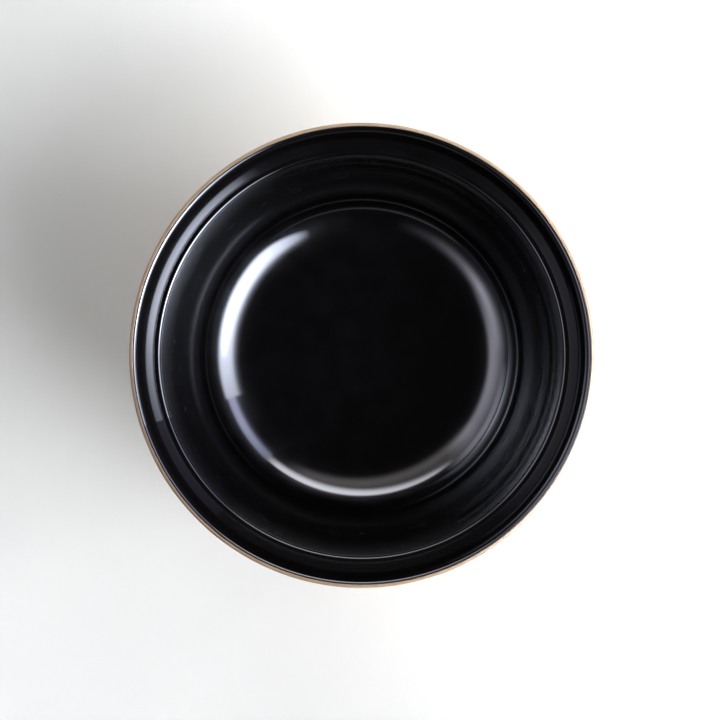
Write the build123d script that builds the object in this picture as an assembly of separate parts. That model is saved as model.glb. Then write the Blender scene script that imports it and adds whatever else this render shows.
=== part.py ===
from build123d import *
import os
from math import acos, asin, cos, degrees, radians, sin, tan

# Double-walled rice bowl: every piece is turned about Z. Millimetres, +Z up.
# Origin: on the axis, in the plane that the bowl stands on.
# Points are (radius, height). A slope is in degrees from the horizontal: 0 is flat, 90 is upright.

# Whole bowl
rim_radius = 70.0
rim_height = 77.0

# Inner liner: the black bowl, with its lid ledge, flared top and lip
liner_thickness = 2.2
floor_height = 18.0
floor_fillet_radius = 22.2
wall_slope = 83.3
ledge_height = 70.9
ledge_inner_radius = 62.1
ledge_edge_radius = 1.1
flare_start_slope = 36.5
flare_end_slope = 60.5
lip_outer_radius = 68.9
flange_bottom_height = 73.0
wall_back_top_height = 68.3

# Crown: the rounded top of the rim, which the liner and the shell share
crown_radius = 1.6
rim_outer_round = 0.9
rim_edge_round = 0.1

# Outer shell: the tan bowl around the liner
shell_thickness = 2.6
rebate_radius = 68.95
side_top_height = 72.0
side_radius = 200.0
bend_slope = 80.0
bend_radius = 38.0
shell_floor_height = 9.6

# Bond ring: on the shoulder of the shell's rebate, under the liner's flange
seal_thickness = 0.8
seal_inner_radius = 67.5

# Foot ring, which is part of the shell, and its groove
foot_outer_radius = 39.4
foot_inner_radius = 34.4
foot_bottom_height = 0.5
foot_edge_radius = 0.5
foot_root_fillet = 1.2
groove_inner_radius = 35.6
groove_outer_radius = 38.0
groove_top_height = 1.8
ring_edge_radius = 0.4

# Base cap, its filling hole and the hole's plug
cap_bottom_height = 5.0
cap_top_height = 7.2
cap_seat_radius = 31.4
cap_edge_chamfer = 0.4
fill_hole_radius = 6.0
counterbore_radius = 9.0
counterbore_top_height = 6.1

# Gaps between the pieces
bond_gap = 0.05
foam_gap = 0.1


def off_face(point, slope, distance):
    """Point at a distance from another, square to a face of that slope, towards the bowl's inside."""
    return (point[0] - distance * sin(radians(slope)), point[1] + distance * cos(radians(slope)))


def hollow_arc(centre, radius, start_slope, end_slope):
    """Arc of the bowl's side or bend, with its centre on the bowl's inside."""
    return CenterArc(centre, radius, start_slope - 90, end_slope - start_slope)


def round_arc(centre, radius, start_slope, end_slope):
    """Arc of a rounded edge, with its centre in the material."""
    return CenterArc(centre, radius, start_slope + 90, end_slope - start_slope)


def ends_of(stretch):
    """First and last points of a point or an arc."""
    if isinstance(stretch, tuple):
        return Vector(*stretch), Vector(*stretch)
    return stretch @ 0, stretch @ 1


def turned(*stretches):
    """Solid turned about Z: points and arcs in order round its section, joined by straight lines."""
    section = [stretch for stretch in stretches if not isinstance(stretch, tuple)]
    for here, after in zip(stretches, stretches[1:] + stretches[:1]):
        start = ends_of(here)[1]
        end = ends_of(after)[0]
        if (end - start).length > 1e-6:
            section.append(Line(start, end))
    return revolve(Plane.XZ * make_face(section), Axis.Z)


def slope_on_crown(centre_radius):
    """Slope where the crown meets an edge round whose centre is at that radius."""
    return degrees(asin((crown_centre[0] - centre_radius) / (crown_radius - rim_edge_round)))


# Crown: one arc over the liner's lip and the shell's rim, each rounded over at the seam between them
crown_centre = (rim_radius - rim_outer_round, rim_height - crown_radius)
lip_end_slope = slope_on_crown(lip_outer_radius - rim_edge_round)
lip_end_centre = off_face(crown_centre, lip_end_slope, crown_radius - rim_edge_round)
rim_start_slope = slope_on_crown(rebate_radius + rim_edge_round)
rim_start_centre = off_face(crown_centre, rim_start_slope, crown_radius - rim_edge_round)

# Liner: flare, ledge edge, wall and floor fillet, found from the rim down
flare_end = off_face(crown_centre, flare_end_slope, crown_radius)
flare_rise = cos(radians(flare_start_slope)) - cos(radians(flare_end_slope))
flare_radius = (flare_end[1] - ledge_height) / flare_rise
flare_centre = off_face(flare_end, flare_end_slope, flare_radius)
ledge_edge_centre = (ledge_inner_radius, ledge_height - ledge_edge_radius)
wall_top = off_face(ledge_edge_centre, wall_slope, ledge_edge_radius)
fillet_top_height = floor_height + floor_fillet_radius * (1 - cos(radians(wall_slope)))
fillet_top_radius = wall_top[0] - (wall_top[1] - fillet_top_height) / tan(radians(wall_slope))
fillet_centre = off_face((fillet_top_radius, fillet_top_height), wall_slope, floor_fillet_radius)

# Liner's back: the wall's back face at the height where it turns out to the flange
wall_back = off_face(wall_top, wall_slope, -liner_thickness)
wall_back_run = (wall_back[1] - wall_back_top_height) / tan(radians(wall_slope))
wall_back_top = (wall_back[0] - wall_back_run, wall_back_top_height)
flange_inner_radius = rim_radius - shell_thickness

# Shell: the long arc of the side meets the bend at bend_slope
side_centre = (rim_radius - side_radius, side_top_height)
bend_centre = off_face(side_centre, bend_slope, bend_radius - side_radius)
foot_root_slope = degrees(asin((foot_outer_radius - bend_centre[0]) / bend_radius))
shoulder_height = flange_bottom_height - seal_thickness


def slope_at_height(radius, height):
    """Slope at which an arc about the bend's centre passes a height."""
    return degrees(acos((bend_centre[1] - height) / radius))


def inner_liner():
    return turned(
        (0, floor_height),
        hollow_arc(fillet_centre, floor_fillet_radius, 0, wall_slope),
        round_arc(ledge_edge_centre, ledge_edge_radius, wall_slope, 0),
        hollow_arc(flare_centre, flare_radius, flare_start_slope, flare_end_slope),
        round_arc(crown_centre, crown_radius, flare_end_slope, lip_end_slope),
        round_arc(lip_end_centre, rim_edge_round, lip_end_slope, -90),
        (lip_outer_radius, flange_bottom_height),
        (flange_inner_radius, flange_bottom_height),
        wall_back_top,
        hollow_arc(fillet_centre, floor_fillet_radius + liner_thickness, wall_slope, 0),
        (0, floor_height - liner_thickness),
    )


def outer_shell():
    rim_outer_centre = (rim_radius - rim_outer_round, rim_height - rim_outer_round)
    foot_edge_height = foot_bottom_height + foot_edge_radius
    inner_bend_radius = bend_radius - shell_thickness
    floor_slope = slope_at_height(inner_bend_radius, shell_floor_height)
    shell = turned(
        round_arc(rim_start_centre, rim_edge_round, 90, rim_start_slope),
        round_arc(crown_centre, crown_radius, rim_start_slope, 0),
        round_arc(rim_outer_centre, rim_outer_round, 0, -90),
        hollow_arc(side_centre, side_radius, 90, bend_slope),
        hollow_arc(bend_centre, bend_radius, bend_slope, foot_root_slope),
        round_arc((foot_outer_radius - foot_edge_radius, foot_edge_height), foot_edge_radius, -90, -180),
        (groove_outer_radius, foot_bottom_height),
        (groove_outer_radius, groove_top_height),
        (groove_inner_radius, groove_top_height),
        (groove_inner_radius, foot_bottom_height),
        round_arc((foot_inner_radius + foot_edge_radius, foot_edge_height), foot_edge_radius, 180, 90),
        (foot_inner_radius, cap_top_height),
        (cap_seat_radius, cap_top_height),
        (cap_seat_radius, shell_floor_height),
        hollow_arc(bend_centre, inner_bend_radius, floor_slope, bend_slope),
        hollow_arc(side_centre, side_radius - shell_thickness, bend_slope, 90),
        (flange_inner_radius, shoulder_height),
        (rebate_radius, shoulder_height),
    )
    root_height = bend_centre[1] - bend_radius * cos(radians(foot_root_slope))
    roots = shell.edges().filter_by_position(Axis.Z, root_height - 0.01, root_height + 0.01)
    return fillet([edge for edge in roots if edge.geom_type == GeomType.CIRCLE], foot_root_fillet)


def rim_seal():
    seal_outer_radius = rebate_radius - bond_gap
    return turned(
        (seal_inner_radius, shoulder_height),
        (seal_outer_radius, shoulder_height),
        (seal_outer_radius, flange_bottom_height),
        (seal_inner_radius, flange_bottom_height),
    )


def insulation_foam():
    """Foam between the liner's back and the shell, a gap clear of both."""
    skirt_run = flange_inner_radius - wall_back_top[0]
    skirt_rise = flange_bottom_height - wall_back_top_height
    skirt_gap = foam_gap * (skirt_run**2 + skirt_rise**2) ** 0.5 / skirt_rise
    skirt_top_radius = wall_back_top[0] + skirt_run * (side_top_height - wall_back_top_height) / skirt_rise
    foam_bend_radius = bend_radius - shell_thickness - foam_gap
    floor_slope = slope_at_height(foam_bend_radius, shell_floor_height + foam_gap)
    return turned(
        (0, floor_height - liner_thickness - foam_gap),
        hollow_arc(fillet_centre, floor_fillet_radius + liner_thickness + foam_gap, 0, wall_slope),
        (wall_back_top[0] + skirt_gap, wall_back_top_height),
        (skirt_top_radius + skirt_gap, side_top_height),
        hollow_arc(side_centre, side_radius - shell_thickness - foam_gap, 90, bend_slope),
        hollow_arc(bend_centre, foam_bend_radius, bend_slope, floor_slope),
        (cap_seat_radius - foam_gap, shell_floor_height + foam_gap),
        (cap_seat_radius - foam_gap, cap_top_height + foam_gap),
        (0, cap_top_height + foam_gap),
    )


def base_cap():
    cap_radius = foot_inner_radius - bond_gap
    return turned(
        (counterbore_radius, cap_bottom_height),
        (cap_radius - cap_edge_chamfer, cap_bottom_height),
        (cap_radius, cap_bottom_height + cap_edge_chamfer),
        (cap_radius, cap_top_height),
        (fill_hole_radius, cap_top_height),
        (fill_hole_radius, counterbore_top_height),
        (counterbore_radius, counterbore_top_height),
    )


def base_plug():
    head_radius = counterbore_radius - bond_gap
    shank_radius = fill_hole_radius - bond_gap
    return turned(
        (0, cap_bottom_height),
        (head_radius, cap_bottom_height),
        (head_radius, counterbore_top_height),
        (shank_radius, counterbore_top_height),
        (shank_radius, cap_top_height),
        (0, cap_top_height),
    )


def nonslip_ring():
    """Soft ring in the foot's groove, standing out below the foot."""
    inner_radius = groove_inner_radius + bond_gap
    outer_radius = groove_outer_radius - bond_gap
    return turned(
        round_arc((inner_radius + ring_edge_radius, ring_edge_radius), ring_edge_radius, 180, 90),
        (inner_radius, groove_top_height),
        (outer_radius, groove_top_height),
        round_arc((outer_radius - ring_edge_radius, ring_edge_radius), ring_edge_radius, -90, -180),
    )


pieces = [inner_liner, outer_shell, rim_seal, insulation_foam, base_cap, base_plug, nonslip_ring]

os.makedirs("parts", exist_ok=True)
for piece in pieces:
    export_step(piece(), f"parts/{piece.__name__}.step")
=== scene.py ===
from math import acos, asin, cos, degrees, pi, radians, sin, tan

import bpy
import numpy as np
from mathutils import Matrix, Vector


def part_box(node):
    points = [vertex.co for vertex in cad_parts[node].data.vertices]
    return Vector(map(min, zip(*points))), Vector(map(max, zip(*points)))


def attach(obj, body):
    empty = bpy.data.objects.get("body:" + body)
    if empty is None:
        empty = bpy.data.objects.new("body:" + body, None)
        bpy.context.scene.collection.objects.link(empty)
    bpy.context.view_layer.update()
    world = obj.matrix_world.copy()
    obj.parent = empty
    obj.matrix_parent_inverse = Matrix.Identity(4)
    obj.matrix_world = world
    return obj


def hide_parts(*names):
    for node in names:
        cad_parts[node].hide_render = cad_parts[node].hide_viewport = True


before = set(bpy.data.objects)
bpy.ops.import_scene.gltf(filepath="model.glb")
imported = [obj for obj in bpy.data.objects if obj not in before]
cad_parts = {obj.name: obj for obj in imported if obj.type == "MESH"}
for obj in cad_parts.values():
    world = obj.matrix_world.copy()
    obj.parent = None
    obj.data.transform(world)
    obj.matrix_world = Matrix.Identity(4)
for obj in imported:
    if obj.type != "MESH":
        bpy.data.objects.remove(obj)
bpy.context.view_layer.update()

# A double-walled rice bowl on pale paper, seen from straight above.
# Outlines are in millimetres as (radius, height), in the frame's own axes: Z is the bowl's axis.
# Slopes are in degrees from the horizontal: 0 is flat and 90 is upright.
# Directions are in degrees too: an azimuth runs anticlockwise from +X, and an elevation up from level.
MM = 0.001

# ---------------------------------------------------------------- sizes from the frame


def node_sizes(node):
    """Largest radius, lowest and highest point of a CAD node, in millimetres."""
    low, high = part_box(node)
    return high.x / MM, low.z / MM, high.z / MM


rim_radius, foot_bottom_height, rim_height = node_sizes("outer_shell")
lip_outer_radius, liner_bottom_height, _ = node_sizes("inner_liner")
_, shoulder_height, flange_bottom_height = node_sizes("rim_seal")
cap_radius, cap_bottom_height, cap_top_height = node_sizes("base_cap")
plug_head_radius, _, _ = node_sizes("base_plug")
ring_outer_radius, _, groove_top_height = node_sizes("nonslip_ring")

# ---------------------------------------------------------------- sizes that the frame's boxes don't give

# Liner, and the crown that it shares with the shell
liner_thickness = 2.2
floor_height = liner_bottom_height + liner_thickness
floor_fillet_radius = 22.2
wall_slope = 83.3
ledge_height = 70.9
ledge_inner_radius = 62.1
ledge_edge_radius = 1.1
flare_start_slope = 36.5
flare_end_slope = 60.5
crown_radius = 1.6
rim_edge_round = 0.1
wall_back_top_height = 68.3

# Shell
shell_thickness = 2.6
rebate_radius = 68.95
rim_outer_round = 0.9
side_top_height = 72.0
side_radius = 200.0
bend_slope = 80.0
bend_radius = 38.0
shell_floor_height = 9.6

# Foot ring, its groove and the soft ring in it
foot_outer_radius = 39.4
foot_inner_radius = 34.4
foot_edge_radius = 0.5
foot_root_fillet = 1.2
groove_inner_radius = 35.6
groove_outer_radius = 38.0
ring_inner_radius = 35.65
ring_edge_radius = 0.4

# Base cap and its plug
cap_seat_radius = 31.4
cap_edge_chamfer = 0.4
fill_hole_radius = 6.0
counterbore_radius = 9.0
counterbore_top_height = 6.1
plug_shank_radius = 5.95

# ---------------------------------------------------------------- meshes and the liner's relief

# Millimetres along an outline: its sampling, how softly its corners turn, and the widest spacings of its rows
FINE_STEP = 0.01
CORNER_SOFTNESS = 0.006
INSIDE_SPACING = 0.4
FINE_SPACING = 2.0
COARSE_SPACING = 3.0

# Corners are softened by a bell curve that is cut off at about this many times CORNER_SOFTNESS
SOFTENING_WIDTHS = 4

# Largest turn from one row to the next, in degrees
TURN_STEP = 1.2

# Vertices round the bowl, and the least radius that a slope round it is worked out with
SEGMENTS = 384
LEAST_RADIUS = 0.5

RELIEF_SEED = 41

# Polishing rings: heights and wavelengths in millimetres, and the slope of each wave as a ratio.
# They wander up and down by a part of a wave, in radians, and their strength swells by a share
RINGS_START = 30.0
RINGS_EASE_IN = 8.0
RINGS_EASE_OUT = 2.0
RING_WAVELENGTHS = (1.3, 2.1, 3.4, 5.6, 9.0)
RING_SLOPE = 0.001
RING_WANDER = 0.4
RING_SWELL = 0.5

# Unevenness: millimetres, divided by the number of waves round the bowl. Lean is in radians per millimetre
UNEVENNESS = 0.006
UNEVEN_WAVES = range(2, 9)
UNEVEN_LEAN = 0.05
UNEVEN_EASE_IN = 4.0

# ---------------------------------------------------------------- colours and finishes

BLACK_DEEP = (0.0010, 0.0008, 0.0009)
BLACK = (0.0013, 0.0010, 0.0012)
TAN_DARK = (0.275, 0.175, 0.1)
TAN = (0.325, 0.212, 0.126)
TAN_PALE = (0.365, 0.243, 0.148)
RUBBER_DARK = (0.018, 0.018, 0.019)
RUBBER = (0.03, 0.03, 0.031)
SEALANT_DARK = (0.05, 0.05, 0.05)
SEALANT = (0.08, 0.08, 0.08)
FOAM_DEEP = (0.75, 0.68, 0.45)
FOAM_PALE = (0.85, 0.79, 0.58)
PAPER_DARK = (0.83, 0.83, 0.82)
PAPER = (0.86, 0.86, 0.85)

# Roughness of the black coat by height in millimetres: brushed high on the floor's rounded corner,
# smooth below that and on the wall, and polished from the ledge up
SMOOTH = 0.05
BRUSHED = 0.2
POLISHED = 0.02
COAT_FINISH = [
    (24.5, SMOOTH), (28.0, BRUSHED), (36.0, BRUSHED), (46.0, SMOOTH), (66.0, SMOOTH), (69.6, POLISHED),
]

# ---------------------------------------------------------------- light and camera

# Metres. A few softboxes stand a little nearer than the rest
FLOOR_RADIUS = 3.0
SOFTBOX_DISTANCE = 2.0
NEARER_DISTANCE = 1.9
SOFT_LAMP_DISTANCE = 2.3

# Lowest and highest elevation that a softbox may reach
LOWEST_LIGHT = 0.5
HIGHEST_LIGHT = 80.0

WINDOW_BLUE = (0.76, 0.82, 1.0)
DIM_VIOLET = (0.67, 0.70, 1.0)
WARM_WHITE = (0.9, 0.905, 1.0)
DULL_WALL = (1.0, 0.93, 0.96)
LEFT_BLUE = (0.83, 0.83, 1.0)
WINDOW_SOFT = (0.96, 0.985, 1.0)
FILL_SOFT = (1.0, 1.035, 1.02)
HORIZON_GLOW = (0.05, 0.045, 0.049)
OVERHEAD_GLOW = (0.042, 0.036, 0.042)

# Camera: millimetres above the rim, the rim's width as a share of the picture's, and shifts as shares of it
CAMERA_HEIGHT = 600.0
RIM_SHARE = 0.64722
CAMERA_SHIFT = (-0.0025, -0.0065)

# ---------------------------------------------------------------- outlines


def off_face(point, slope, distance):
    """Point at a distance from another, square to a face of that slope, towards the bowl's inside."""
    return (point[0] - distance * sin(radians(slope)), point[1] + distance * cos(radians(slope)))


def arc(centre, radius, start_angle, end_angle):
    """Points along an arc. Angles are in degrees, anticlockwise from the radius direction."""
    count = max(3, int(abs(radians(end_angle - start_angle)) * radius / FINE_STEP))
    angles = np.radians(np.linspace(start_angle, end_angle, count))
    return np.column_stack([centre[0] + radius * np.cos(angles), centre[1] + radius * np.sin(angles)])


def hollow_arc(centre, radius, start_slope, end_slope):
    """Arc of the bowl's side or bend, with its centre on the bowl's inside."""
    return arc(centre, radius, start_slope - 90, end_slope - 90)


def round_arc(centre, radius, start_slope, end_slope):
    """Arc of a rounded edge, with its centre in the material."""
    return arc(centre, radius, start_slope + 90, end_slope + 90)


def joined(*stretches):
    """One outline through points and arcs, in order."""
    return np.vstack([np.atleast_2d(stretch) for stretch in stretches])


def slope_on_crown(centre_radius):
    """Slope where the crown meets an edge round whose centre is at that radius."""
    return degrees(asin((crown_centre[0] - centre_radius) / (crown_radius - rim_edge_round)))


# Rim: liner and shell share a crown, with a fine seam in it. Each rounds over at the seam
crown_centre = (rim_radius - rim_outer_round, rim_height - crown_radius)
lip_end_slope = slope_on_crown(lip_outer_radius - rim_edge_round)
lip_end_centre = off_face(crown_centre, lip_end_slope, crown_radius - rim_edge_round)
rim_start_slope = slope_on_crown(rebate_radius + rim_edge_round)
rim_start_centre = off_face(crown_centre, rim_start_slope, crown_radius - rim_edge_round)

# Liner: flare, ledge edge, wall and floor fillet, found from the rim down
flare_end = off_face(crown_centre, flare_end_slope, crown_radius)
flare_rise = cos(radians(flare_start_slope)) - cos(radians(flare_end_slope))
flare_radius = (flare_end[1] - ledge_height) / flare_rise
flare_centre = off_face(flare_end, flare_end_slope, flare_radius)
ledge_edge_centre = (ledge_inner_radius, ledge_height - ledge_edge_radius)
wall_top = off_face(ledge_edge_centre, wall_slope, ledge_edge_radius)
fillet_top_height = floor_height + floor_fillet_radius * (1 - cos(radians(wall_slope)))
fillet_top_radius = wall_top[0] - (wall_top[1] - fillet_top_height) / tan(radians(wall_slope))
fillet_centre = off_face((fillet_top_radius, fillet_top_height), wall_slope, floor_fillet_radius)
wall_back = off_face(wall_top, wall_slope, -liner_thickness)
wall_back_run = (wall_back[1] - wall_back_top_height) / tan(radians(wall_slope))
wall_back_top = (wall_back[0] - wall_back_run, wall_back_top_height)
flange_inner_radius = rim_radius - shell_thickness

# Shell: the long arc of the side meets the bend at bend_slope
side_centre = (rim_radius - side_radius, side_top_height)
bend_centre = off_face(side_centre, bend_slope, bend_radius - side_radius)


def slope_at_height(radius, height):
    """Slope at which an arc about the bend's centre passes a height."""
    return degrees(acos((bend_centre[1] - height) / radius))


def liner_outline():
    return joined(
        (0, floor_height),
        hollow_arc(fillet_centre, floor_fillet_radius, 0, wall_slope),
        round_arc(ledge_edge_centre, ledge_edge_radius, wall_slope, 0),
        hollow_arc(flare_centre, flare_radius, flare_start_slope, flare_end_slope),
        round_arc(crown_centre, crown_radius, flare_end_slope, lip_end_slope),
        round_arc(lip_end_centre, rim_edge_round, lip_end_slope, -90),
        (lip_outer_radius, flange_bottom_height),
        (flange_inner_radius, flange_bottom_height),
        wall_back_top,
        hollow_arc(fillet_centre, floor_fillet_radius + liner_thickness, wall_slope, 0),
        (0, liner_bottom_height),
    )


def foot_root():
    """Where the fillet at the foot's root leaves the bend, as a slope, and the fillet's centre."""
    reach = bend_radius + foot_root_fillet
    centre_radius = foot_outer_radius + foot_root_fillet
    drop = (reach**2 - (centre_radius - bend_centre[0]) ** 2) ** 0.5
    slope = degrees(asin((centre_radius - bend_centre[0]) / reach))
    return slope, (centre_radius, bend_centre[1] - drop)


def shell_outline():
    rim_outer_centre = (rim_radius - rim_outer_round, rim_height - rim_outer_round)
    foot_edge_height = foot_bottom_height + foot_edge_radius
    inner_bend_radius = bend_radius - shell_thickness
    floor_slope = slope_at_height(inner_bend_radius, shell_floor_height)
    root_slope, root_centre = foot_root()
    return joined(
        round_arc(rim_start_centre, rim_edge_round, 90, rim_start_slope),
        round_arc(crown_centre, crown_radius, rim_start_slope, 0),
        round_arc(rim_outer_centre, rim_outer_round, 0, -90),
        hollow_arc(side_centre, side_radius, 90, bend_slope),
        hollow_arc(bend_centre, bend_radius, bend_slope, root_slope),
        arc(root_centre, foot_root_fillet, 90 + root_slope, 180),
        round_arc((foot_outer_radius - foot_edge_radius, foot_edge_height), foot_edge_radius, -90, -180),
        (groove_outer_radius, foot_bottom_height),
        (groove_outer_radius, groove_top_height),
        (groove_inner_radius, groove_top_height),
        (groove_inner_radius, foot_bottom_height),
        round_arc((foot_inner_radius + foot_edge_radius, foot_edge_height), foot_edge_radius, 180, 90),
        (foot_inner_radius, cap_top_height),
        (cap_seat_radius, cap_top_height),
        (cap_seat_radius, shell_floor_height),
        hollow_arc(bend_centre, inner_bend_radius, floor_slope, bend_slope),
        hollow_arc(side_centre, side_radius - shell_thickness, bend_slope, 90),
        (flange_inner_radius, shoulder_height),
        (rebate_radius, shoulder_height),
    )


def cap_outline():
    return joined(
        (counterbore_radius, cap_bottom_height),
        (counterbore_radius, counterbore_top_height),
        (fill_hole_radius, counterbore_top_height),
        (fill_hole_radius, cap_top_height),
        (cap_radius, cap_top_height),
        (cap_radius, cap_bottom_height + cap_edge_chamfer),
        (cap_radius - cap_edge_chamfer, cap_bottom_height),
    )


def plug_outline():
    return joined(
        (0, cap_top_height),
        (plug_shank_radius, cap_top_height),
        (plug_shank_radius, counterbore_top_height),
        (plug_head_radius, counterbore_top_height),
        (plug_head_radius, cap_bottom_height),
        (0, cap_bottom_height),
    )


def ring_outline():
    return joined(
        (ring_inner_radius, groove_top_height),
        (ring_outer_radius, groove_top_height),
        round_arc((ring_outer_radius - ring_edge_radius, ring_edge_radius), ring_edge_radius, -90, -180),
        round_arc((ring_inner_radius + ring_edge_radius, ring_edge_radius), ring_edge_radius, 180, 90),
    )


def evenly_spaced(points, step):
    """The outline sampled at an even pitch along its length."""
    runs = np.hypot(*np.diff(points, axis=0).T)
    along = np.concatenate([[0], np.cumsum(runs)])
    count = int(along[-1] / step)
    places = np.linspace(0, along[-1], count + 1)
    return np.column_stack([np.interp(places, along, points[:, i]) for i in (0, 1)])


def softened(points, closed):
    """Outline with every corner rounded a little, and its unit normals, which point out of the material."""
    if closed:
        points = np.vstack([points, points[:1]])
    points = evenly_spaced(points, FINE_STEP)
    reach = int(SOFTENING_WIDTHS * CORNER_SOFTNESS / FINE_STEP)
    offsets = np.arange(-reach, reach + 1) * FINE_STEP
    weights = np.exp(-0.5 * (offsets / CORNER_SOFTNESS) ** 2)
    weights /= weights.sum()
    if closed:
        padded = np.vstack([points[-reach - 2:-1], points, points[1:reach + 2]])
    else:
        mirror = np.array([-1, 1])
        padded = np.vstack([points[reach + 1:0:-1] * mirror, points, points[-2:-reach - 3:-1] * mirror])
    smooth = np.column_stack([np.convolve(padded[:, i], weights, "valid") for i in (0, 1)])
    tangents = smooth[2:] - smooth[:-2]
    smooth = smooth[1:-1]
    tangents /= np.hypot(*tangents.T)[:, None]
    normals = np.column_stack([-tangents[:, 1], tangents[:, 0]])
    if closed:
        return smooth[:-1], normals[:-1]
    smooth[[0, -1], 0] = 0
    return smooth, normals


def thinned(normals, spacing):
    """Places to keep: one for each small turn of the outline, and none further apart than its spacing."""
    turn = np.degrees(np.unwrap(np.arctan2(normals[:, 1], normals[:, 0])))
    kept = [0]
    for place in range(1, len(normals)):
        turned = np.abs(turn[place] - turn[kept[-1]])
        if turned >= TURN_STEP or (place - kept[-1]) * FINE_STEP >= spacing[place]:
            kept.append(place)
    if kept[-1] != len(normals) - 1:
        kept.append(len(normals) - 1)
    return np.array(kept)


# ---------------------------------------------------------------- pieces


def turned_surface(points, normals, along, angles, rise):
    """Places and normals of the vertices of an outline turned about Z, whose surface is raised by rise."""
    slope_along = np.gradient(rise, along, axis=0)
    around = (np.roll(rise, -1, axis=1) - np.roll(rise, 1, axis=1)) / (4 * pi / SEGMENTS)
    slope_around = around / np.maximum(points[:, :1], LEAST_RADIUS)
    tangents = np.column_stack([normals[:, 1], -normals[:, 0]])
    normal_out = normals[:, :1] - slope_along * tangents[:, :1]
    normal_up = normals[:, 1:] - slope_along * tangents[:, 1:]
    radius = points[:, :1] + rise * normals[:, :1]
    height = points[:, 1:] + rise * normals[:, 1:]
    cosines, sines = np.cos(angles), np.sin(angles)
    places = np.stack([radius * cosines, radius * sines, height], axis=-1) * MM
    facing_x = normal_out * cosines + slope_around * sines
    facing_y = normal_out * sines - slope_around * cosines
    facing = np.stack([facing_x, facing_y, normal_up], axis=-1)
    facing /= np.linalg.norm(facing, axis=-1, keepdims=True)
    return places.reshape(-1, 3), facing.reshape(-1, 3)


def turned_faces(rows, closed):
    """Faces between rows of vertices, and the vertices that they use. Each end on the axis is one vertex."""
    index = np.arange(rows * SEGMENTS).reshape(rows, SEGMENTS)
    if not closed:
        index[0] = index[0, 0]
        index[-1] = index[-1, 0]
    used, number = np.unique(index, return_inverse=True)
    number = number.reshape(rows, SEGMENTS)
    faces = []
    for row in range(rows if closed else rows - 1):
        this, following = number[row], number[(row + 1) % rows]
        quads = np.column_stack([this, following, np.roll(following, -1), np.roll(this, -1)])
        faces.extend(tuple(dict.fromkeys(quad)) for quad in quads.tolist())
    return faces, used


def turned_piece(name, outline, node, fine_spacing=FINE_SPACING, relief=None):
    """Mesh turned about Z from an outline. Rows are finer up to the outline's highest point.
    relief(points, along, angles) is the surface's height off the outline there, in millimetres."""
    closed = outline[0][0] > 0
    points, normals = softened(outline, closed)
    before_top = np.arange(len(points)) < np.argmax(points[:, 1])
    kept = thinned(normals, np.where(before_top, fine_spacing, COARSE_SPACING))
    points, normals, before_top = points[kept], normals[kept], before_top[kept]
    along = kept * FINE_STEP
    angles = np.arange(SEGMENTS) * 2 * pi / SEGMENTS
    rise = np.zeros((len(points), SEGMENTS))
    if relief:
        rise = relief(points, along, angles) * before_top[:, None]
    places, facing = turned_surface(points, normals, along, angles, rise)
    faces, used = turned_faces(len(points), closed)
    mesh = bpy.data.meshes.new(name)
    mesh.from_pydata(places[used].tolist(), [], faces)
    mesh.shade_smooth()
    mesh.normals_split_custom_set_from_vertices(facing[used].tolist())
    mesh.validate()
    piece = bpy.data.objects.new(name, mesh)
    bpy.context.scene.collection.objects.link(piece)
    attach(piece, "root")
    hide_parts(node)
    return piece


def smooth_step(low, high, value):
    """0 up to low, 1 from high up, and eased between them."""
    t = np.clip((value - low) / (high - low), 0, 1)
    return t * t * (3 - 2 * t)


def liner_relief(points, along, angles):
    """Faint rings left by polishing the mould's steep wall, and slow unevenness of the whole inside."""
    chance = np.random.default_rng(RELIEF_SEED)
    rise = np.zeros((len(points), len(angles)))
    on_wall = smooth_step(RINGS_START, RINGS_START + RINGS_EASE_IN, points[:, 1])
    on_wall *= smooth_step(0, RINGS_EASE_OUT, ledge_height - points[:, 1])
    for wavelength in RING_WAVELENGTHS:
        phase, wander_phase, swell_phase = chance.uniform(0, 2 * pi, 3)
        wander_waves = chance.integers(1, 4)
        swell_waves = chance.integers(1, 5)
        wander = RING_WANDER * np.sin(angles * wander_waves + wander_phase)
        swell = 1 + RING_SWELL * np.sin(angles * swell_waves + swell_phase)
        wave = np.sin(2 * pi * along[:, None] / wavelength + phase + wander)
        rise += RING_SLOPE * wavelength / (2 * pi) * wave * swell * on_wall[:, None]
    on_inside = smooth_step(floor_height, floor_height + UNEVEN_EASE_IN, points[:, 1])
    for waves in UNEVEN_WAVES:
        phase = chance.uniform(0, 2 * pi)
        lean = chance.uniform(-UNEVEN_LEAN, UNEVEN_LEAN)
        wave = np.sin(waves * angles + phase + lean * along[:, None])
        rise += UNEVENNESS / waves * wave * on_inside[:, None]
    return rise


liner = turned_piece(
    "liner_black", liner_outline(), "inner_liner", INSIDE_SPACING, liner_relief
)
shell = turned_piece("shell_tan", shell_outline(), "outer_shell")
base_cap = turned_piece("base_cap_disc", cap_outline(), "base_cap")
base_plug = turned_piece("base_plug_disc", plug_outline(), "base_plug")
foot_ring = turned_piece("foot_ring_soft", ring_outline(), "nonslip_ring")

# ---------------------------------------------------------------- materials


def new_material(name):
    """Empty material, its node tree and its shader."""
    material = bpy.data.materials.new(name)
    material.use_nodes = True
    tree = material.node_tree
    tree.nodes.clear()
    shader = tree.nodes.new("ShaderNodeBsdfPrincipled")
    output = tree.nodes.new("ShaderNodeOutputMaterial")
    tree.links.new(shader.outputs["BSDF"], output.inputs["Surface"])
    return material, tree, shader


def places_in_millimetres(tree, stretch):
    """The object's own coordinates in millimetres, times a stretch for each axis."""
    place = tree.nodes.new("ShaderNodeTexCoord")
    mapping = tree.nodes.new("ShaderNodeMapping")
    mapping.inputs["Scale"].default_value = [axis / MM for axis in stretch]
    tree.links.new(place.outputs["Object"], mapping.inputs["Vector"])
    return mapping.outputs["Vector"]


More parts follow.
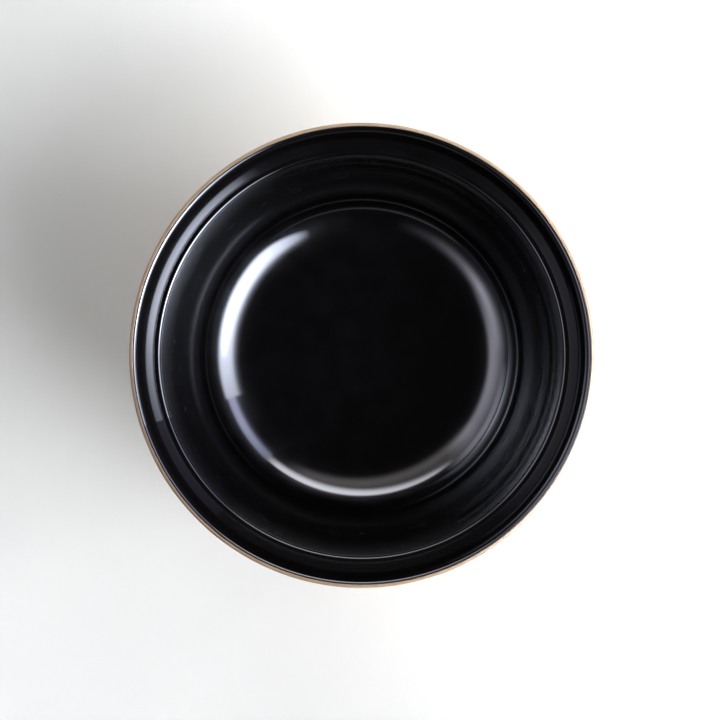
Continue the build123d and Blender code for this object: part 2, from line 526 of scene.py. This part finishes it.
def noise(tree, scale, detail=3.0, stretch=(1, 1, 1)):
    """Cloudy value. Scale is in cycles per millimetre."""
    texture = tree.nodes.new("ShaderNodeTexNoise")
    texture.inputs["Scale"].default_value = scale
    texture.inputs["Detail"].default_value = detail
    tree.links.new(places_in_millimetres(tree, stretch), texture.inputs["Vector"])
    return texture.outputs["Fac"]


def ranged(tree, value, low, high, from_low=0.3, from_high=0.7):
    """A value that runs from from_low to from_high, stretched to run from low to high."""
    spread = tree.nodes.new("ShaderNodeMapRange")
    spread.inputs["From Min"].default_value = from_low
    spread.inputs["From Max"].default_value = from_high
    spread.inputs["To Min"].default_value = low
    spread.inputs["To Max"].default_value = high
    tree.links.new(value, spread.inputs["Value"])
    return spread.outputs["Result"]


def ramp(tree, value, stops):
    """Colour from a value by stops of (position, colour)."""
    colours = tree.nodes.new("ShaderNodeValToRGB")
    elements = colours.color_ramp.elements
    while len(elements) < len(stops):
        elements.new(0.5)
    for element, (position, colour) in zip(elements, stops):
        element.position = position
        element.color = (*colour, 1)
    tree.links.new(value, colours.inputs["Fac"])
    return colours.outputs["Color"]


def mottled(tree, value, dark, pale):
    """Colour that follows a cloudy value from dark to pale."""
    return ramp(tree, value, [(0.35, dark), (0.65, pale)])


def bumped(tree, shader, height, depth):
    """Fine relief on a shader's surface. Depth is in millimetres."""
    bump = tree.nodes.new("ShaderNodeBump")
    bump.inputs["Strength"].default_value = 1.0
    bump.inputs["Distance"].default_value = depth * MM
    tree.links.new(height, bump.inputs["Height"])
    tree.links.new(bump.outputs["Normal"], shader.inputs["Normal"])


def coat_finish(tree):
    """Roughness of the black coat at each height, from the inside's floor to the rim."""
    place = tree.nodes.new("ShaderNodeTexCoord")
    split = tree.nodes.new("ShaderNodeSeparateXYZ")
    tree.links.new(place.outputs["Object"], split.inputs["Vector"])
    low, high = floor_height * MM, rim_height * MM
    share = ranged(tree, split.outputs["Z"], low=0.0, high=1.0, from_low=low, from_high=high)
    stops = [((height * MM - low) / (high - low), (roughness,) * 3) for height, roughness in COAT_FINISH]
    return ramp(tree, share, stops)


def black_lacquer():
    """Deep black under a clear coat."""
    material, tree, shader = new_material("black_lacquer")
    tree.links.new(mottled(tree, noise(tree, scale=0.05), BLACK_DEEP, BLACK), shader.inputs["Base Color"])
    tree.links.new(ranged(tree, noise(tree, scale=0.12), 0.2, 0.28), shader.inputs["Roughness"])
    shader.inputs["Specular IOR Level"].default_value = 0.08
    shader.inputs["Coat Weight"].default_value = 1.0
    shader.inputs["Coat IOR"].default_value = 1.5
    tree.links.new(coat_finish(tree), shader.inputs["Coat Roughness"])
    bumped(tree, shader, noise(tree, scale=0.3, detail=2.0), depth=0.0002)
    return material


def tan_lacquer():
    """Tan with a faint turned grain, under a thin coat."""
    material, tree, shader = new_material("tan_lacquer")
    grain = noise(tree, scale=0.5, detail=5.0, stretch=(0.05, 0.05, 1.0))
    colour = ramp(tree, grain, [(0.36, TAN_DARK), (0.5, TAN), (0.64, TAN_PALE)])
    tree.links.new(colour, shader.inputs["Base Color"])
    tree.links.new(ranged(tree, noise(tree, scale=0.2), 0.36, 0.46), shader.inputs["Roughness"])
    shader.inputs["Coat Weight"].default_value = 0.12
    shader.inputs["Coat Roughness"].default_value = 0.16
    bumped(tree, shader, noise(tree, scale=0.9, detail=2.0), depth=0.003)
    return material


def base_resin():
    """Fine moulded texture, unlacquered."""
    material, tree, shader = new_material("base_resin")
    cloud = noise(tree, scale=0.15)
    tree.links.new(mottled(tree, cloud, TAN_DARK, TAN), shader.inputs["Base Color"])
    tree.links.new(ranged(tree, cloud, 0.48, 0.58), shader.inputs["Roughness"])
    bumped(tree, shader, noise(tree, scale=3.0, detail=2.0), depth=0.02)
    return material


def foot_rubber():
    """Matt black rubber."""
    material, tree, shader = new_material("foot_rubber")
    speckle = noise(tree, scale=1.5)
    tree.links.new(mottled(tree, speckle, RUBBER_DARK, RUBBER), shader.inputs["Base Color"])
    tree.links.new(ranged(tree, speckle, 0.6, 0.75), shader.inputs["Roughness"])
    bumped(tree, shader, noise(tree, scale=4.0, detail=2.0), depth=0.015)
    return material


def sealant():
    """Dark grey bond, uneven as it was laid."""
    material, tree, shader = new_material("sealant")
    wet = noise(tree, scale=0.8)
    tree.links.new(mottled(tree, wet, SEALANT_DARK, SEALANT), shader.inputs["Base Color"])
    tree.links.new(ranged(tree, wet, 0.35, 0.5), shader.inputs["Roughness"])
    bumped(tree, shader, wet, depth=0.05)
    return material


def foam():
    """Closed-cell foam: pale, with cells about half a millimetre across."""
    material, tree, shader = new_material("foam")
    cells = tree.nodes.new("ShaderNodeTexVoronoi")
    cells.inputs["Scale"].default_value = 2.0
    tree.links.new(places_in_millimetres(tree, (1, 1, 1)), cells.inputs["Vector"])
    from_middle = cells.outputs["Distance"]
    colour = ramp(tree, from_middle, [(0.0, FOAM_DEEP), (0.6, FOAM_PALE)])
    tree.links.new(colour, shader.inputs["Base Color"])
    tree.links.new(ranged(tree, from_middle, 0.8, 0.95), shader.inputs["Roughness"])
    bumped(tree, shader, from_middle, depth=0.1)
    return material


def paper():
    """White paper, faintly fibrous."""
    material, tree, shader = new_material("paper")
    fibre = noise(tree, scale=0.02, detail=5.0)
    tree.links.new(ramp(tree, fibre, [(0.3, PAPER_DARK), (0.7, PAPER)]), shader.inputs["Base Color"])
    shader.inputs["Roughness"].default_value = 0.9
    shader.inputs["Specular IOR Level"].default_value = 0.2
    bumped(tree, shader, noise(tree, scale=1.2, detail=4.0), depth=0.02)
    return material


def paint(piece, material):
    piece.data.materials.clear()
    piece.data.materials.append(material)


resin = base_resin()
paint(liner, black_lacquer())
paint(shell, tan_lacquer())
paint(base_cap, resin)
paint(base_plug, resin)
paint(foot_ring, foot_rubber())
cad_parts["rim_seal"].material_slots[0].material = sealant()
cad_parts["insulation_foam"].material_slots[0].material = foam()

# ---------------------------------------------------------------- floor, lights and camera


def paper_floor():
    """Round sheet of paper that the bowl stands on."""
    sides = 96
    mesh = bpy.data.meshes.new("floor")
    angles = [side * 2 * pi / sides for side in range(sides)]
    edge = [(FLOOR_RADIUS * cos(angle), FLOOR_RADIUS * sin(angle), 0.0) for angle in angles]
    mesh.from_pydata(edge, [], [tuple(range(sides))])
    floor = bpy.data.objects.new("floor", mesh)
    bpy.context.scene.collection.objects.link(floor)
    paint(floor, paper())


def rectangle_lamp(name, colour, radiance, width, heights, distance, azimuth):
    """Upright rectangular lamp that faces the bowl's axis. Width and heights above the rim are in metres."""
    bottom, top = heights
    light = bpy.data.lights.new(name, "AREA")
    light.shape = "RECTANGLE"
    light.size = width
    light.size_y = top - bottom
    light.color = colour
    light.energy = pi * width * (top - bottom) * radiance
    lamp = bpy.data.objects.new(name, light)
    bpy.context.scene.collection.objects.link(lamp)
    bearing = radians(azimuth)
    lamp.location = (distance * cos(bearing), distance * sin(bearing), (bottom + top) / 2 + rim_height * MM)
    lamp.rotation_euler = (pi / 2, 0, bearing + pi / 2)
    lamp.visible_camera = False
    return lamp


def softbox(name, radiance, colour, across, upward, slant=0.0, bow=0.0, pivot=0.0, sill=None,
            distance=SOFTBOX_DISTANCE):
    """Upright rectangular light that only gloss sees. across and upward are its strengths by azimuth and by
    elevation as the bowl sees them: lists of (degrees, strength). The pattern climbs slant degrees for each
    degree of azimuth from the pivot, and bows down to both sides of it. A sill darkens it from below: it's
    the elevations at the pivot where the light starts and is full, and its own climb for each degree."""
    middle = (across[-1][0] + across[0][0]) / 2
    half_angle = (across[-1][0] - across[0][0]) / 2
    spread = max(abs(across[0][0] - pivot), abs(across[-1][0] - pivot))
    lean = abs(slant) * spread
    low = max(LOWEST_LIGHT, upward[0][0] - lean - bow * spread**2)
    high = min(HIGHEST_LIGHT, upward[-1][0] + lean)
    bottom = distance * tan(radians(low))
    top = distance / cos(radians(half_angle)) * tan(radians(high))
    width = 2 * distance * tan(radians(half_angle))
    lamp = rectangle_lamp(name, colour, radiance, width, (bottom, top), distance, middle)
    lamp.visible_diffuse = False
    lamp.data.use_nodes = True
    tree = lamp.data.node_tree
    azimuth, elevation = directions(tree, distance, (bottom, top), middle, half_angle)
    shape_light(tree, azimuth, elevation, across, upward, slant, bow, pivot, sill)


def worked(tree, operation, *values):
    """Result of one operation on numbers or on other nodes' results."""
    step = tree.nodes.new("ShaderNodeMath")
    step.operation = operation
    for socket, value in zip(step.inputs, values):
        if isinstance(value, bpy.types.NodeSocket):
            tree.links.new(value, socket)
        else:
            socket.default_value = value
    return step.outputs["Value"]


def directions(tree, distance, heights, middle, half_angle):
    """Azimuth and elevation, in degrees, in which the bowl sees each place on a lamp."""
    place = tree.nodes.new("ShaderNodeNewGeometry")
    split = tree.nodes.new("ShaderNodeSeparateXYZ")
    tree.links.new(place.outputs["Parametric"], split.inputs["Vector"])
    bottom, top = heights
    reach = tan(radians(half_angle))
    sideways = worked(tree, "MULTIPLY_ADD", split.outputs["X"], 2 * reach, -reach)
    height = worked(tree, "MULTIPLY_ADD", split.outputs["Y"], (top - bottom) / distance, bottom / distance)
    away = worked(tree, "SQRT", worked(tree, "MULTIPLY_ADD", sideways, sideways, 1.0))
    from_middle = worked(tree, "DEGREES", worked(tree, "ARCTANGENT", sideways))
    azimuth = worked(tree, "ADD", from_middle, middle)
    elevation = worked(tree, "DEGREES", worked(tree, "ARCTAN2", height, away))
    return azimuth, elevation


def shape_light(tree, azimuth, elevation, across, upward, slant, bow, pivot, sill):
    """Nodes that work out a softbox's strength in each direction."""
    from_pivot = worked(tree, "ADD", azimuth, -pivot)
    climbed = worked(tree, "MULTIPLY_ADD", from_pivot, -slant, elevation)
    squared = worked(tree, "MULTIPLY", from_pivot, from_pivot)
    bowed = worked(tree, "MULTIPLY_ADD", squared, bow, climbed)
    by_azimuth = strength_ramp(tree, azimuth, across)
    by_elevation = strength_ramp(tree, bowed, upward)
    strength = worked(tree, "MULTIPLY", by_azimuth, by_elevation)
    if sill:
        start, full, climb = sill
        above = worked(tree, "MULTIPLY_ADD", from_pivot, -climb, elevation)
        above_sill = strength_ramp(tree, above, [(start, 0.0), (full, 1.0)])
        strength = worked(tree, "MULTIPLY", strength, above_sill)
    emission = next(node for node in tree.nodes if node.type == "EMISSION")
    tree.links.new(strength, emission.inputs["Strength"])


def strength_ramp(tree, value, stops):
    """Strength by angle, in straight lines from one stop to the next."""
    first, last = stops[0][0], stops[-1][0]
    share = ranged(tree, value, low=0.0, high=1.0, from_low=first, from_high=last)
    greys = [((angle - first) / (last - first), (strength,) * 3) for angle, strength in stops]
    return ramp(tree, share, greys)


def soft_lamp(name, irradiance, colour, azimuths, elevations):
    """Even rectangular lamp that lights matt surfaces only.
    irradiance is what it gives a surface at the rim's middle that faces it."""
    distance = SOFT_LAMP_DISTANCE
    half_angle = (azimuths[1] - azimuths[0]) / 2
    bottom, top = (distance * tan(radians(angle)) for angle in elevations)
    width = 2 * distance * tan(radians(half_angle))
    solid_angle = width * (top - bottom) * cos(radians(sum(elevations) / 2)) ** 3 / distance**2
    radiance = irradiance / solid_angle
    lamp = rectangle_lamp(name, colour, radiance, width, (bottom, top), distance, sum(azimuths) / 2)
    lamp.visible_glossy = False


def window_softboxes():
    """The large window: its near and far halves, its bright core, and the light low under it."""
    heights = [
        (24, 0.0), (27, 0.15), (29, 0.45), (31, 0.75), (33.5, 0.95), (37, 0.97), (44, 0.97),
        (48.5, 0.92), (52.5, 0.74), (56, 0.36), (59, 0.13), (63, 0.025), (67, 0.0),
    ]
    softbox(
        "window_near", 32, WINDOW_BLUE,
        across=[(-67, 0.0), (-61, 0.42), (-52, 0.75), (-40, 0.88), (-24, 1.0)],
        upward=heights, slant=0.05, pivot=-12, sill=(-2, 5, -0.75),
    )
    softbox(
        "window_far", 32, WINDOW_BLUE,
        across=[(-24, 1.0), (-12, 0.88), (0, 0.66), (12, 0.48), (18, 0.4)],
        upward=heights, slant=0.05, pivot=-12,
    )
    softbox(
        "window_core", 115, WINDOW_BLUE,
        across=[(-50, 0.0), (-44, 0.1), (-36, 0.5), (-28, 1.0), (-20, 0.9), (-12, 0.5), (-4, 0.15), (2, 0.0)],
        upward=[(32, 0.0), (34, 0.3), (36, 0.85), (38, 1.0), (42, 1.0), (45, 0.4), (48, 0.08), (51, 0.0)],
        distance=NEARER_DISTANCE,
    )
    softbox(
        "low_window", 12.5, WINDOW_BLUE,
        across=[
            (-61, 0.0), (-57, 0.08), (-53, 0.42), (-48, 0.62), (-42, 0.84), (-34, 1.0),
            (-14, 1.0), (-6, 0.8), (0, 0.57), (8, 0.4), (18, 0.25),
        ],
        upward=[(0.6, 0.1), (3, 0.5), (6, 0.7), (12, 0.9), (18, 1.0), (20, 0.5), (21.5, 0.1), (23.5, 0.0)],
        distance=NEARER_DISTANCE,
    )


def side_softboxes():
    """What carries on from the window: a dim panel, a second window, and the wall above that."""
    softbox(
        "side_panel", 9.6, DIM_VIOLET,
        across=[(18, 1.0), (30, 0.96), (40, 0.75), (48, 0.5)],
        upward=[
            (1, 0.03), (29, 0.04), (32, 0.25), (34, 0.75), (38, 1.0), (42, 1.0),
            (45, 0.85), (48, 0.4), (51, 0.1), (55, 0.02), (60, 0.0),
        ],
        slant=-0.05, pivot=30,
    )
    softbox(
        "warm_window", 14.2, WARM_WHITE,
        across=[
            (48, 0.4), (53, 0.95), (64, 1.0), (84, 0.95), (92, 0.9), (104, 0.82),
            (114, 0.74), (122, 0.66), (128, 0.25), (132, 0.0),
        ],
        upward=[(28, 0.0), (31, 0.4), (35, 1.0), (39, 1.0), (42, 0.85), (45, 0.45), (48, 0.08), (50, 0.0)],
        slant=0.02, bow=0.0022, pivot=76, sill=(32.5, 36, 0.03),
    )
    softbox(
        "upper_wall", 2.2, DULL_WALL,
        across=[(54, 0.0), (66, 0.9), (84, 1.0), (120, 0.9), (140, 0.9), (150, 0.0)],
        upward=[
            (32, 0.0), (36, 0.3), (44, 0.4), (51, 0.42), (56, 0.7),
            (60, 0.74), (64, 0.5), (67, 0.2), (70, 0.05), (73, 0.0),
        ],
        bow=0.0026, pivot=112,
    )


def left_softboxes():
    """Pale walls on the left, high and low."""
    softbox(
        "left_wall", 5.0, LEFT_BLUE,
        across=[(130, 0.0), (145, 0.8), (165, 1.0), (185, 1.0), (200, 0.5), (212, 0.0)],
        upward=[
            (1, 0.05), (20, 0.07), (29, 0.1), (33, 0.28), (39, 0.5), (46, 0.8),
            (53, 1.0), (57, 0.78), (60, 0.3), (63, 0.05), (66, 0.0),
        ],
        slant=-0.04, pivot=165,
    )
    softbox(
        "left_low", 4.5, LEFT_BLUE,
        across=[(126, 0.0), (138, 0.8), (150, 1.0), (165, 0.7), (178, 0.0)],
        upward=[(23, 0.0), (26, 0.6), (29, 1.0), (33, 0.6), (37, 0.0)],
        distance=NEARER_DISTANCE,
    )
    softbox(
        "left_lower_wall", 6.5, LEFT_BLUE,
        across=[(180, 0.0), (198, 0.6), (210, 1.0), (222, 0.4), (240, 0.1), (255, 0.0)],
        upward=[
            (1, 0.04), (20, 0.05), (30, 0.08), (34, 0.3), (39, 0.75),
            (43, 1.0), (48, 0.6), (53, 0.15), (58, 0.0),
        ],
    )


def soft_lamps():
    """Light on the paper and on the bowl's matt surfaces."""
    soft_lamp("window_low_soft", 9.4, WINDOW_SOFT, azimuths=(-45, 5), elevations=(8, 18))
    soft_lamp("window_high_soft", 0.92, WINDOW_SOFT, azimuths=(-56, -22), elevations=(40, 56))
    soft_lamp("side_soft", 0.55, WINDOW_SOFT, azimuths=(5, 30), elevations=(22, 34))
    soft_lamp("upper_soft", 4.7, FILL_SOFT, azimuths=(48, 120), elevations=(8, 18))
    soft_lamp("left_soft", 0.08, FILL_SOFT, azimuths=(130, 215), elevations=(24, 60))


def room_glow():
    """Dim room, a little darker overhead than at the horizon."""
    world = bpy.data.worlds.new("room")
    bpy.context.scene.world = world
    world.use_nodes = True
    tree = world.node_tree
    background = next(node for node in tree.nodes if node.type == "BACKGROUND")
    place = tree.nodes.new("ShaderNodeTexCoord")
    split = tree.nodes.new("ShaderNodeSeparateXYZ")
    tree.links.new(place.outputs["Generated"], split.inputs["Vector"])
    glow = ramp(tree, split.outputs["Z"], [(0.0, HORIZON_GLOW), (0.5, OVERHEAD_GLOW)])
    tree.links.new(glow, background.inputs["Color"])


def camera_above():
    """Camera straight above the bowl, on its axis."""
    data = bpy.data.cameras.new("camera")
    camera = bpy.data.objects.new("camera", data)
    bpy.context.scene.collection.objects.link(camera)
    camera.location = (0, 0, (rim_height + CAMERA_HEIGHT) * MM)
    data.sensor_width = 36.0
    data.lens = data.sensor_width * RIM_SHARE / 2 * CAMERA_HEIGHT / rim_radius
    data.shift_x, data.shift_y = CAMERA_SHIFT
    data.clip_start = 0.01
    data.clip_end = 50
    bpy.context.scene.camera = camera


bpy.context.scene.view_settings.view_transform = "Standard"
paper_floor()
window_softboxes()
side_softboxes()
left_softboxes()
soft_lamps()
room_glow()
camera_above()
